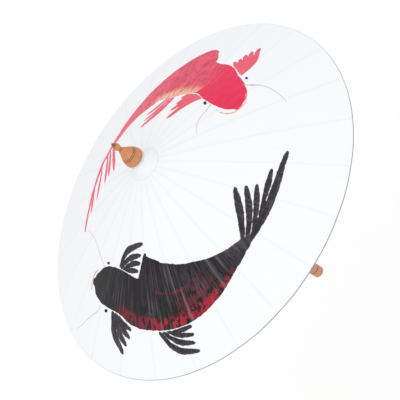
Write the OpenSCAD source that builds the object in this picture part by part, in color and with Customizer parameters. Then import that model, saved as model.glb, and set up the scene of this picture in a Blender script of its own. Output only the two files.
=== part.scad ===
// Oil paper umbrella, standing open on the end of its handle.
// Z runs up the shaft. The origin is the centre of the handle's lower end.
// Each rib and its stretcher are an isosceles pair: the two links are equally long
// and the hub and runner pivots lie on circles of one radius, so the runner slides
// straight along the shaft as every rib turns by the same angle.

/* [Canopy] */
// Radius of the paper at the rim
canopy_r = 420; // [400:5:440]
// Height of the rim above the end of the handle
rim_z = 457; // [452:1:462]
// Rise of the canopy from rim to centre, as a share of its radius
canopy_rise = 0.40; // [0.38:0.005:0.41]
// Outward bow of the canopy between centre and rim, as a share of its radius
canopy_bow = 0.10; // [0.08:0.005:0.12]
// Thickness of the oiled paper
paper_t = 0.5; // [0.4:0.05:0.8]
// Radius of the hole in the paper at the hub
paper_hole_r = 24; // [23.5:0.5:26]
// Radius of the thread at the rim
rim_cord_r = 0.6; // [0.5:0.1:0.8]

/* [Ribs] */
// Number of ribs, each with its own stretcher
rib_count = 24; // [16:1:24]
// Width of a rib
rib_w = 5; // [4:0.5:5]
// Depth of a rib
rib_depth = 5; // [4:0.5:5]
// Radius of the circle on which the rib tips end
rib_tip_r = 416; // [400:1:416]
// Clear height between the paper and the ribs
paper_gap = 0.4; // [0.35:0.05:0.6]
// Length of each of the two links, pivot to pivot
link_len = 180; // [170:1:185]
// Angle of the links below level when the umbrella is open
open_angle = 21; // [20.8:0.1:22]
// Depth of a stretcher
stretcher_depth = 4; // [3:0.5:4]

/* [Hub and runner] */
// Height of the rib pivots on the hub
hub_z = 616; // [615:0.5:617]
// Radius of the circle of pivots on the hub and on the runner
pivot_r = 16; // [15.5:0.5:17]
// Outer radius of the notched flanges
flange_r = 22; // [21:0.5:23]
// Width of the notches
notch_w = 2.2; // [2.1:0.05:2.3]
// Width of the tongues that sit in the notches
tongue_w = 1.8; // [1.6:0.1:1.8]
// Radius of the binding threads
thread_r = 0.5; // [0.4:0.05:0.5]
// Length of the runner below its pivots
runner_skirt = 24; // [22:1:26]

/* [Shaft, handle and finial] */
// Radius of the shaft
shaft_r = 6.5; // [6:0.25:7]
// Radial clearance of the runner on the shaft
slide_gap = 0.1; // [0.05:0.05:0.1]
// Radius of the handle's straight grip
grip_r = 14; // [12:0.5:15]
// Length of the handle
handle_len = 130; // [120:1:140]
// Depth of the socket that holds the shaft in the handle
handle_socket = 60; // [45:1:70]
// Height of the underside of the finial
finial_z = 643; // [642:0.5:646]
// Radius of the finial at its widest
finial_r = 22.5; // [20:0.5:24]
// Depth of the socket that holds the shaft in the finial
finial_socket = 22; // [18:1:26]

/* [Catch] */
// Height of the catch's pivot
catch_pivot_z = 435; // [434:0.5:436]
// Length of the catch above its pivot
catch_len = 27; // [25:0.5:27]
// Thickness of the catch across the slot
catch_w = 3; // [2.6:0.1:3.2]
// Radius of the catch's pin
catch_pin_r = 0.9; // [0.8:0.05:1]

/* [Hidden] */
$fn = 64;
handle_colour = [0.78, 0.56, 0.44];
finial_colour = [0.82, 0.55, 0.32];
wood_colour = [0.86, 0.74, 0.55];
bamboo_colour = [0.85, 0.72, 0.50];
paper_colour = [0.97, 0.975, 0.98];
thread_colour = [0.75, 0.75, 0.76];

rib_step = 360 / rib_count;
// Positions of the joint between rib and stretcher, and of the runner's pivots
joint_r = pivot_r + link_len * cos(open_angle);
joint_z = hub_z - link_len * sin(open_angle);
runner_z = hub_z - 2 * link_len * sin(open_angle);

pivot_eye_r = 2.5;
pin_r = 0.55;
pin_hole_r = 0.6;
pin_len = 4.6;
thread_hole_r = 0.65;
fork_slot_len = 7;
tooth_base = 5;
// Where the narrow tongue ends, and where a link reaches its full width
tongue_len = 12.8;
shoulder_len = 18;
shoulder_w = 3.2;
full_w_len = 104;
// The ribs get shallower towards the rim
rib_taper_start = 0.7;
rib_tip_depth = 3;
profile_steps = 12;
notch_floor_r = 12.5;
cut = 1;

// Height of the paper's upper face at radius r
function canopy_z(r) = rim_z + (1 - r / canopy_r) * (canopy_rise * canopy_r + canopy_bow * r);
// Height of a rib's upper edge, and its depth, at radius r
function rib_top(r) = canopy_z(r) - paper_t - paper_gap;
function rib_depth_at(r) =
    rib_depth - (rib_depth - rib_tip_depth)
    * max(0, (r / rib_tip_r - rib_taper_start) / (1 - rib_taper_start));
function steps(from, to, count) = [for (i = [0 : count]) from + (to - from) * i / count];
// Points on an arc about [x, y] from angle a0 to angle a1
function arc(x, y, r, a0, a1, count = 6) =
    [for (a = steps(a0, a1, count)) [x + r * cos(a), y + r * sin(a)]];
function numbered(name, i) = str(name, i < 9 ? "_0" : "_", i + 1);

// A turned piece from points of its half profile
module turned(points) {
    rotate_extrude() polygon(points);
}

// A thin ring of round section
module ring(r, z, thickness_r) {
    translate([0, 0, z]) rotate_extrude() translate([r, 0]) circle(r = thickness_r, $fn = 24);
}

// A flat outline in the upright plane through the axis, given a width across it
module upright(width) {
    rotate([90, 0, 0]) linear_extrude(height = width, center = true) children();
}

// A hole or pin across the upright plane at [x, z]
module crosswise(x, z, r, length) {
    translate([x, 0, z]) rotate([90, 0, 0]) cylinder(r = r, h = length, center = true, $fn = 32);
}

// Seen from above: a narrow tongue, a shoulder and a gentle widening to the full width
module link_plan(start, end) {
    stations = [
        [start - 4, tongue_w],
        [start + tongue_len, tongue_w],
        [start + shoulder_len, shoulder_w],
        [start + full_w_len, rib_w],
        [end, rib_w]
    ];
    polygon(concat(
        [for (s = stations) [s[0], s[1] / 2]],
        [for (i = [4 : -1 : 0]) [stations[i][0], -stations[i][1] / 2]]));
}

// The ring of notches, open outwards and at one face, cut from a flange
module notches(z0, z1) {
    for (i = [0 : rib_count - 1])
        rotate([0, 0, i * rib_step])
            translate([notch_floor_r, -notch_w / 2, z0])
                cube([flange_r - notch_floor_r + cut, notch_w, z1 - z0]);
}

// The groove round a flange that the binding thread lies in
module thread_groove(z) {
    translate([0, 0, z - thread_r - 0.2])
        difference() {
            cylinder(r = flange_r + cut, h = 2 * thread_r + 0.4);
            translate([0, 0, -cut])
                cylinder(r = pivot_r - thread_r - 0.2, h = 2 * thread_r + 0.4 + 2 * cut);
        }
}

module shaft() {
    bottom = handle_len - handle_socket;
    color(wood_colour)
    difference() {
        translate([0, 0, bottom])
            cylinder(r = shaft_r, h = finial_z + finial_socket - bottom);
        // Slot that the catch folds into
        translate([-0.8, -catch_w / 2 - 0.2, catch_pivot_z - 4.5])
            cube([shaft_r + 0.8 + cut, catch_w + 0.4, catch_len + 5.5]);
        crosswise(3, catch_pivot_z, catch_pin_r, 4 * shaft_r);
    }
}

module handle() {
    end_round = 5;
    groove = 1.2;
    color(handle_colour)
    difference() {
        turned(concat(
            [[0, 0]],
            arc(grip_r - end_round, end_round, end_round, -90, -12),
            [
                [grip_r - 0.8, 4.6],
                [grip_r - 0.8, 5.4],
                [grip_r, 6],
                [grip_r, 19],
                [grip_r - groove, 20.5],
                [grip_r - groove, 22],
                [grip_r - 0.5, 23],
                [grip_r - 0.5, 24],
                [grip_r - groove, 25],
                [grip_r - groove, 26.5],
                [grip_r, 28],
                [grip_r, 78],
                [grip_r - groove, 79.5],
                [grip_r - groove, 81],
                [grip_r - 0.3, 82.5]
            ],
            arc(grip_r - 4, handle_len - 28, 4, 0, 30, 3),
            [[shaft_r + 3.2, handle_len - 14]],
            arc(shaft_r + 2, handle_len - 6, 2.2, -60, 60),
            [
                [shaft_r + 2.2, handle_len - 3],
                [shaft_r + 1.8, handle_len],
                [0, handle_len]
            ]));
        translate([0, 0, handle_len - handle_socket])
            cylinder(r = shaft_r, h = handle_socket + cut);
    }
}

module finial() {
    bead_r = 8;
    bead_z = 55;
    color(finial_colour)
    translate([0, 0, finial_z])
    difference() {
        turned(concat(
            [[0, 0], [finial_r - 3.5, 0]],
            arc(finial_r - 3.5, 3.5, 3.5, -80, 0, 5),
            [
                [finial_r - 0.3, 8],
                [finial_r - 2, 14],
                [finial_r - 4.2, 19],
                [finial_r - 8.2, 27],
                [finial_r - 12.3, 35],
                [finial_r - 15.8, 41],
                [4.6, 44],
                [4.5, 46.5]
            ],
            arc(0, bead_z, bead_r, -56, 58, 12),
            [[3.6, 62.6], [3.1, 64.5], [2.8, 67.5], [1.6, 69.4], [0, 70]]));
        translate([0, 0, -cut]) cylinder(r = shaft_r, h = finial_socket + cut);
    }
}

module top_hub() {
    flange_top = hub_z + 6;
    color(wood_colour)
    difference() {
        turned([
            [shaft_r, hub_z - 8],
            [flange_r - 1, hub_z - 8],
            [flange_r, hub_z - 7],
            [flange_r, flange_top - 1],
            [flange_r - 1, flange_top],
            [flange_r - 3, flange_top + 3],
            [flange_r - 4.5, flange_top + 10],
            [flange_r - 4.5, finial_z],
            [shaft_r, finial_z]
        ]);
        notches(hub_z - 8 - cut, hub_z + 4);
        thread_groove(hub_z);
    }
}

module runner() {
    bore_r = shaft_r + slide_gap;
    color(wood_colour)
    difference() {
        turned([
            [bore_r, runner_z - runner_skirt],
            [11, runner_z - runner_skirt],
            [12, runner_z - runner_skirt + 1],
            [12, runner_z - runner_skirt + 4],
            [10.8, runner_z - runner_skirt + 6],
            [10.8, runner_z - 12],
            [13, runner_z - 8],
            [flange_r - 1, runner_z - 6],
            [flange_r, runner_z - 5],
            [flange_r, runner_z + 7],
            [flange_r - 1, runner_z + 8],
            [bore_r, runner_z + 8]
        ]);
        notches(runner_z - 4, runner_z + 8 + cut);
        thread_groove(runner_z);
    }
}

module hub_thread() {
    color(thread_colour) ring(pivot_r, hub_z, thread_r);
}

module runner_thread() {
    color(thread_colour) ring(pivot_r, runner_z, thread_r);
}

module canopy() {
    stations = steps(paper_hole_r, canopy_r, profile_steps);
    color(paper_colour)
    turned(concat(
        [for (r = stations) [r, canopy_z(r)]],
        [for (i = [profile_steps : -1 : 0]) [stations[i], canopy_z(stations[i]) - paper_t]]));
}

module apex_cap() {
    t = 0.8;
    foot_z = canopy_z(38.5) + 0.2;
    neck_z = finial_z - 0.5;
    outer = [[38.5, foot_z + 0.9], [31, foot_z + 7], [25.5, foot_z + 15], [22, neck_z - 5], [20, neck_z]];
    color(paper_colour)
    turned(concat(
        outer,
        [for (i = [4 : -1 : 1]) [outer[i][0] - t, outer[i][1] - (i == 4 ? 0 : 0.2)]],
        [[37, canopy_z(37) + 0.2], [38.5, foot_z]]));
}

module rim_cord() {
    color(thread_colour)
    ring(canopy_r - rim_cord_r, rim_z - paper_t - rim_cord_r + 0.25, rim_cord_r);
}

module rib(i) {
    lean = 16.7;
    stations = steps(pivot_r + 14, rib_tip_r, profile_steps);
    eye = pivot_eye_r * [sin(lean), cos(lean)];
    under_joint = rib_top(joint_r) - rib_depth;
    color(bamboo_colour)
    rotate([0, 0, i * rib_step]) {
        difference() {
            union() {
                intersection() {
                    upright(rib_w + cut) union() {
                        translate([pivot_r, hub_z]) circle(r = pivot_eye_r, $fn = 32);
                        polygon(concat(
                            [[pivot_r, hub_z] + eye],
                            [for (r = stations) [r, rib_top(r)]],
                            [for (k = [profile_steps : -1 : 0])
                                [stations[k], rib_top(stations[k]) - rib_depth_at(stations[k])]],
                            [[pivot_r, hub_z] - eye]));
                    }
                    linear_extrude(height = hub_z + 10) link_plan(pivot_r, rib_tip_r + cut);
                }
                // Tooth that the stretcher's fork straddles
                upright(tongue_w) union() {
                    translate([joint_r, joint_z]) circle(r = pivot_eye_r, $fn = 32);
                    polygon([
                        [joint_r - pivot_eye_r, joint_z],
                        [joint_r + pivot_eye_r, joint_z],
                        [joint_r + tooth_base, under_joint],
                        [joint_r + tooth_base, under_joint + 1],
                        [joint_r - tooth_base, under_joint + 2],
                        [joint_r - tooth_base, under_joint + 1]
                    ]);
                }
            }
            crosswise(pivot_r, hub_z, thread_hole_r, rib_w);
            crosswise(joint_r, joint_z, pin_hole_r, rib_w);
        }
        crosswise(joint_r, joint_z, pin_r, pin_len);
    }
}

module stretcher(i) {
    half = stretcher_depth / 2;
    end = link_len + pivot_eye_r;
    color(bamboo_colour)
    rotate([0, 0, i * rib_step])
    translate([pivot_r, 0, runner_z])
    rotate([0, -open_angle, 0])
    difference() {
        intersection() {
            upright(rib_w + cut) union() {
                circle(r = half, $fn = 32);
                translate([0, -half]) square([link_len, stretcher_depth]);
                translate([link_len, 0]) circle(r = half, $fn = 32);
            }
            translate([0, 0, -5]) linear_extrude(height = 10) link_plan(0, end);
        }
        // Fork round the rib's tooth
        translate([link_len - fork_slot_len, -notch_w / 2, -5]) cube([fork_slot_len + 5, notch_w, 10]);
        crosswise(0, 0, thread_hole_r, rib_w);
        crosswise(link_len, 0, pin_hole_r, rib_w + cut);
    }
}

module catch() {
    face_x = 6.2;
    back_x = 2.6;
    eye_r = 3.2;
    color(bamboo_colour)
    difference() {
        upright(catch_w) union() {
            translate([3, catch_pivot_z]) circle(r = eye_r, $fn = 48);
            polygon([
                [face_x, catch_pivot_z],
                [face_x, catch_pivot_z + catch_len - 0.6],
                [face_x - 0.6, catch_pivot_z + catch_len],
                [back_x, catch_pivot_z + catch_len],
                [back_x - 1.4, catch_pivot_z]
            ]);
        }
        crosswise(3, catch_pivot_z, catch_pin_r + 0.05, 2 * catch_w);
    }
}

module catch_pin() {
    color(bamboo_colour) crosswise(3, catch_pivot_z, catch_pin_r, 1.5 * shaft_r);
}

shaft();
handle();
finial();
top_hub();
apex_cap();
canopy();
rim_cord();
hub_thread();
runner();
runner_thread();
catch();
catch_pin();
for (i = [0 : rib_count - 1]) {
    rib(i);
    stretcher(i);
}
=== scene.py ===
"""Oil paper umbrella with two painted koi, dressed around its fixed CAD frame."""
import math

import bmesh
import bpy
import numpy as np
from bpy.props import FloatProperty, FloatVectorProperty, IntProperty, PointerProperty
from mathutils import Matrix, Vector


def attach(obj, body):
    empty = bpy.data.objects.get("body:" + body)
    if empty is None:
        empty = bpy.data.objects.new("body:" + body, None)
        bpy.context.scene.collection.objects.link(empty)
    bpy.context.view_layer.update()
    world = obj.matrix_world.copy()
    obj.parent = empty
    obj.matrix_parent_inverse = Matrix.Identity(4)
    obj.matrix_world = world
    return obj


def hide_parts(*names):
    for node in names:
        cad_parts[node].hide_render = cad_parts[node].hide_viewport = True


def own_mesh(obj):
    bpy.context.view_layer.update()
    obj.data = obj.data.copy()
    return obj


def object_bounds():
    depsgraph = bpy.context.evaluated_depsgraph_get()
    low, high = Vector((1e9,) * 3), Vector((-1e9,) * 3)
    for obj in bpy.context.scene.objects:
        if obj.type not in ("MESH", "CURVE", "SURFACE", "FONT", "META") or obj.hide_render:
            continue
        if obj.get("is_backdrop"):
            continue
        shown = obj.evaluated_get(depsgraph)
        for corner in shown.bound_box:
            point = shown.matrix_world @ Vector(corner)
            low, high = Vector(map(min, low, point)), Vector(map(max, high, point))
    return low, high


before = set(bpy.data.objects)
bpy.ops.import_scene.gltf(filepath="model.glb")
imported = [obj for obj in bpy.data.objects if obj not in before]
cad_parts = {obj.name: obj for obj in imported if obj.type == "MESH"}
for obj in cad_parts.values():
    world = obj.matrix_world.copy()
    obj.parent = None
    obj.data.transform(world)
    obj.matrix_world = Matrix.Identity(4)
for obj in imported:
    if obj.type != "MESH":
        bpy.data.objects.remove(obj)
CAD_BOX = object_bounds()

bl_info = {
    "name": "Oil Paper Umbrella",
    "version": (1, 0, 0),
    "blender": (4, 5, 0),
    "location": "View3D > Sidebar > Umbrella",
    "description": "Paper, painting, bamboo and turned wood of a folding oil paper umbrella",
    "category": "Object",
}

MM = 0.001
RIBS = 24
PITCH = 2 * math.pi / RIBS
# The paper's profile, as in the CAD model: the height falls from the middle to the rim
RIM_R, RIM_Z, RISE, BOW = 420.0, 457.0, 168.0, 0.10
FINIAL_Z = 643.0
# Rise of the ribs and stretchers for each unit outwards
RIB_SLOPE, STRETCHER_SLOPE = -0.40, math.tan(math.radians(21))
# How far the paper rolls round the rim thread
HEM_TURN = math.radians(285)
# How far the half gores lean as they fold, and the share of their width that is left
# Lean of the half gores towards their rib, worked into a direction that nothing uses
FOLD_LEAN = math.radians(9.5)
# Distance in mm that stands for nowhere near a shape
FAR = 30.0


def paper_z(r):
    """Height in mm of the paper's upper face at radius r."""
    return RIM_Z + (1 - r / RIM_R) * (RISE + BOW * r)


def rib_name(i):
    return f"rib_{i + 1:02d}"


def stretcher_name(i):
    return f"stretcher_{i + 1:02d}"


# ---------------------------------------------------------------- settings


def colour_prop(name, description, value):
    return FloatVectorProperty(
        name=name, description=description, default=value, subtype="COLOR", size=3, min=0, max=1
    )


def length_prop(name, description, value):
    return FloatProperty(name=name, description=description, default=value, unit="LENGTH")


def angle_prop(name, description, degrees):
    return FloatProperty(name=name, description=description, default=math.radians(degrees), unit="ROTATION")


class UmbrellaPaperSettings(bpy.types.PropertyGroup):
    """Sizes and colour of the paper."""

    start_radius: length_prop("Inner Radius", "Where the paper starts under the cap", 0.0285)
    hem_radius: length_prop("Hem Radius", "Radius of the rolled hem round the rim thread", 0.0022)
    strip_half: length_prop("Strip Half Width", "Half the width of paper glued to a rib", 0.0027)
    thickness: length_prop("Thickness", "Thickness of the oiled paper", 0.0005)
    flattening: FloatProperty(
        name="Flattening", description="How flat the paper lies between two ribs", default=0.4, min=0, max=1
    )
    rows: IntProperty(name="Rows", description="Steps from the middle to the rim", default=150, min=20)
    columns: IntProperty(name="Columns", description="Steps across half a gore", default=20, min=4)
    colour: colour_prop("Paper", "Colour of the bare paper", (0.905, 0.912, 0.925))
    under_colour: colour_prop("Underside", "Colour of the paper seen from below", (0.86, 0.85, 0.82))
    hem_colour: colour_prop("Hem", "Colour of the thread in the hem", (0.33, 0.34, 0.35))


class UmbrellaPaintSettings(bpy.types.PropertyGroup):
    """Colours of the two koi."""

    ink: colour_prop("Ink", "Body of the dark koi", (0.013, 0.0115, 0.0135))
    ink_pale: colour_prop("Thin Ink", "Where the ink of the dark koi is thinned", (0.105, 0.090, 0.120))
    wine: colour_prop("Wine", "Belly of the dark koi", (0.37, 0.012, 0.033))
    crimson: colour_prop("Crimson", "Head of the red koi", (0.80, 0.022, 0.085))
    rose: colour_prop("Rose", "Body of the red koi", (0.80, 0.070, 0.135))
    salmon: colour_prop("Salmon", "Fins of the red koi", (0.84, 0.125, 0.18))
    cream: colour_prop("Cream", "Belly of the red koi", (0.92, 0.60, 0.40))
    whisker: colour_prop("Whisker", "Barbels of both koi", (0.60, 0.46, 0.42))


class UmbrellaWoodSettings(bpy.types.PropertyGroup):
    """Colours of wood, bamboo and thread."""

    bamboo: colour_prop("Bamboo", "Split bamboo", (0.66, 0.45, 0.21))
    bamboo_dark: colour_prop("Dark Bamboo", "Fibres and nodes of the bamboo", (0.36, 0.20, 0.08))
    shaft: colour_prop("Shaft", "Wood of the shaft", (0.60, 0.40, 0.19))
    hub: colour_prop("Hub", "Wood of the hub and the runner", (0.66, 0.46, 0.24))
    finial: colour_prop("Finial", "Wood of the finial", (0.72, 0.30, 0.115))
    handle: colour_prop("Handle", "Wood of the handle", (0.58, 0.29, 0.17))
    burn: colour_prop("Burn", "Scorched rings", (0.10, 0.026, 0.010))
    thread: colour_prop("Thread", "Binding thread", (0.50, 0.49, 0.48))


class UmbrellaStageSettings(bpy.types.PropertyGroup):
    """Camera, light and floor."""

    elevation: angle_prop("Elevation", "Height of the camera above level", 40.09)
    roll: angle_prop("Roll", "Clockwise turn of the camera", 58.3)
    distance: length_prop("Distance", "From the aim to the camera", 2.955)
    aim_height: length_prop("Aim Height", "Height the camera aims at", 0.434)
    aim_side: length_prop("Aim Side", "Sideways shift of the aim", -0.0026)
    lens: FloatProperty(name="Lens", description="Focal length", default=122.4, unit="CAMERA")
    floor_height: length_prop("Floor", "Height of the floor", -1.5)
    sky: FloatProperty(name="Sky", description="Brightness of the light from all round", default=0.86, min=0)
    lamp: FloatProperty(name="Lamp", description="Brightness of the soft overhead lamp", default=0.70, min=0)


# ---------------------------------------------------------------- node helpers


class Wire:
    """A node's output that can stand in a formula, where each sign adds a Math node."""

    def __init__(self, graph, socket):
        self.graph, self.socket = graph, socket

    def __abs__(self):
        return self.graph.math("ABSOLUTE", self)


def add_sign(sign, operation):
    setattr(Wire, f"__{sign}__", lambda self, other: self.graph.math(operation, self, other))
    setattr(Wire, f"__r{sign}__", lambda self, other: self.graph.math(operation, other, self))


for sign, operation in (
    ("add", "ADD"), ("sub", "SUBTRACT"), ("mul", "MULTIPLY"), ("truediv", "DIVIDE"), ("pow", "POWER"),
):
    add_sign(sign, operation)


class Wires:
    """A node's outputs, by name, by number or in order."""

    def __init__(self, graph, outputs):
        self.graph, self.outputs = graph, outputs

    def __getitem__(self, key):
        return Wire(self.graph, self.outputs[key])

    def __iter__(self):
        return (Wire(self.graph, socket) for socket in self.outputs)


class Graph:
    """Short ways to add and join nodes in one tree."""

    def __init__(self, tree):
        self.tree = tree

    def put(self, socket, value):
        value = getattr(value, "socket", value)
        if isinstance(value, bpy.types.NodeSocket):
            self.tree.links.new(value, socket)
        elif value is not None:
            if isinstance(value, tuple) and socket.type == "RGBA" and len(value) == 3:
                value = (*value, 1.0)
            socket.default_value = value

    def add(self, kind, inputs=None, **settings):
        node = self.tree.nodes.new(kind)
        for key, value in settings.items():
            setattr(node, key, value)
        for key, value in (inputs or {}).items():
            self.put(node.inputs[key], value)
        return node

    def made(self, kind, inputs=None, **settings):
        """The outputs of a new node."""
        return Wires(self, self.add(kind, inputs, **settings).outputs)

    def group(self, name, inputs):
        return self.made("ShaderNodeGroup", inputs, node_tree=once(name, SHADER_GROUPS[name]))

    def math(self, operation, *values):
        node = self.add("ShaderNodeMath", operation=operation)
        for socket, value in zip(node.inputs, values):
            self.put(socket, value)
        return Wire(self, node.outputs[0])

    def sin(self, value):
        return self.math("SINE", value)

    def cos(self, value):
        return self.math("COSINE", value)

    def split(self, vector):
        return self.made("ShaderNodeSeparateXYZ", {"Vector": vector})

    def join(self, x=0.0, y=0.0, z=0.0):
        return self.made("ShaderNodeCombineXYZ", {"X": x, "Y": y, "Z": z})[0]

    def round(self, radius, angle, height=0.0):
        """The place at a radius, an angle and a height."""
        return self.join(radius * self.cos(angle), radius * self.sin(angle), height)

    def mix(self, factor, a, b):
        node = self.add("ShaderNodeMix", data_type="RGBA", blend_type="MIX")
        for index, value in ((0, factor), (6, a), (7, b)):
            self.put(node.inputs[index], value)
        return Wire(self, node.outputs[2])

    def ramp(self, value, low, high, to_low=0.0, to_high=1.0):
        """Smooth step of value from low to high."""
        inputs = {"Value": value, "From Min": low, "From Max": high, "To Min": to_low, "To Max": to_high}
        return self.made("ShaderNodeMapRange", inputs, interpolation_type="SMOOTHSTEP")[0]

    def noise(self, vector, scale=1.0, detail=2.0, rough=0.5, distort=0.0):
        inputs = {"Vector": vector, "Scale": scale, "Detail": detail, "Roughness": rough, "Distortion": distort}
        return self.made("ShaderNodeTexNoise", inputs)["Fac"]

    def attribute(self, name):
        return self.made("ShaderNodeAttribute", attribute_name=name, attribute_type="GEOMETRY")

    def grid(self, rows, columns):
        """A square sheet of points, 1 by 1 about the origin, and the X and Y of its points."""
        inputs = {"Size X": 1.0, "Size Y": 1.0, "Vertices X": rows, "Vertices Y": columns}
        mesh = self.made("GeometryNodeMeshGrid", inputs)["Mesh"]
        x, y, _ = self.split(self.made("GeometryNodeInputPosition")[0])
        return mesh, x, y

    def store(self, geometry, name, value, kind):
        inputs = {"Geometry": geometry, "Name": name, "Value": value}
        return self.made("GeometryNodeStoreNamedAttribute", inputs, data_type=kind, domain="POINT")[0]

    def finish(self, out, geometry, material):
        """Ends a Geometry Nodes tree with real geometry that wears the material."""
        real = self.add("GeometryNodeRealizeInstances", {"Geometry": geometry})
        dressed = self.add("GeometryNodeSetMaterial", {"Geometry": real.outputs[0], "Material": material})
        self.put(out.inputs["Geometry"], dressed.outputs[0])
        return self.tree


def node_group(name, kind, inputs, outputs):
    """A new node group's graph, inputs and output node. Each input has its default, or its kind of socket."""
    tree = bpy.data.node_groups.new(name, kind)
    for label, value in inputs.items():
        socket_type = value if isinstance(value, str) else INT if isinstance(value, int) else FLOAT
        socket = tree.interface.new_socket(name=label, in_out="INPUT", socket_type=socket_type)
        if value is not socket_type:
            socket.default_value = value
    for label, socket_type in outputs.items():
        tree.interface.new_socket(name=label, in_out="OUTPUT", socket_type=socket_type)
    graph = Graph(tree)
    return graph, graph.made("NodeGroupInput"), graph.add("NodeGroupOutput")


def once(name, build):
    """The node group of that name, built if it isn't there yet."""
    return bpy.data.node_groups.get(name) or build(name)


FLOAT, INT, VECTOR, COLOUR = "NodeSocketFloat", "NodeSocketInt", "NodeSocketVector", "NodeSocketColor"
MATERIAL, GEOMETRY = "NodeSocketMaterial", "NodeSocketGeometry"


def long_fibres(name):
    """Streaks that run along X of the given place in mm, from 0 to 1."""
    g, given, out = node_group(
        name, "ShaderNodeTree",
        {"Vector": VECTOR, "Length": 60.0, "Width": 0.6, "Seed": 0.0},
        {"Streaks": FLOAT, "Broad": FLOAT},
    )
    x, y, z = g.split(given["Vector"])
    along = x / given["Length"]
    across = y / given["Width"]
    high = z / given["Width"] + given["Seed"]
    place = g.join(along, across, high)
    g.put(out.inputs["Streaks"], g.ramp(g.noise(place, 1.0, 3.0, 0.6), 0.3, 0.7))
    wide = g.join(along, across * 0.22, high * 0.22)
    g.put(out.inputs["Broad"], g.ramp(g.noise(wide, 1.0, 2.0), 0.3, 0.7))
    return g.tree


def band(name):
    """A soft-edged band round a height, 1 in its middle."""
    g, given, out = node_group(
        name, "ShaderNodeTree",
        {"Height": 0.0, "Middle": 0.0, "Half Width": 1.0, "Soft": 0.5},
        {"Mask": FLOAT},
    )
    away = abs(given["Height"] - given["Middle"])
    low = given["Half Width"] - given["Soft"]
    high = given["Half Width"] + given["Soft"]
    g.put(out.inputs["Mask"], g.ramp(away, low, high, 1.0, 0.0))
    return g.tree


def spoke_space(name):
    """Place along, across and above the nearest spoke of the wheel of ribs, in mm, and the spoke's number."""
    g, given, out = node_group(
        name, "ShaderNodeTree",
        {"Vector": VECTOR, "Slope": 0.0},
        {"Vector": VECTOR, "Spoke": FLOAT},
    )
    x, y, z = g.split(given["Vector"])
    radius = g.math("SQRT", x * x + y * y)
    turns = g.math("ARCTAN2", y, x) / PITCH
    number = g.math("FLOOR", turns + 0.5)
    across = (turns - number) * PITCH * radius
    above = z - radius * given["Slope"]
    scaled = [value * 1000.0 for value in (radius, across, above)]
    g.put(out.inputs["Vector"], g.join(*scaled))
    g.put(out.inputs["Spoke"], number)
    return g.tree


def scale_dabs(name):
    """Short strokes of a brush laid across a fish, in the fish's own along and across places in mm."""
    g, given, out = node_group(
        name, "ShaderNodeTree",
        {"Vector": VECTOR, "Length": 8.5, "Width": 17.0, "Full": 0.50},
        {"Mask": FLOAT},
    )
    x, y, _ = g.split(given["Vector"])
    place = g.join(x / given["Length"], y / given["Width"])
    g.put(out.inputs["Mask"], g.ramp(g.noise(place, 1.0, 1.5, 0.6), given["Full"], given["Full"] + 0.07))
    return g.tree


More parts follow.
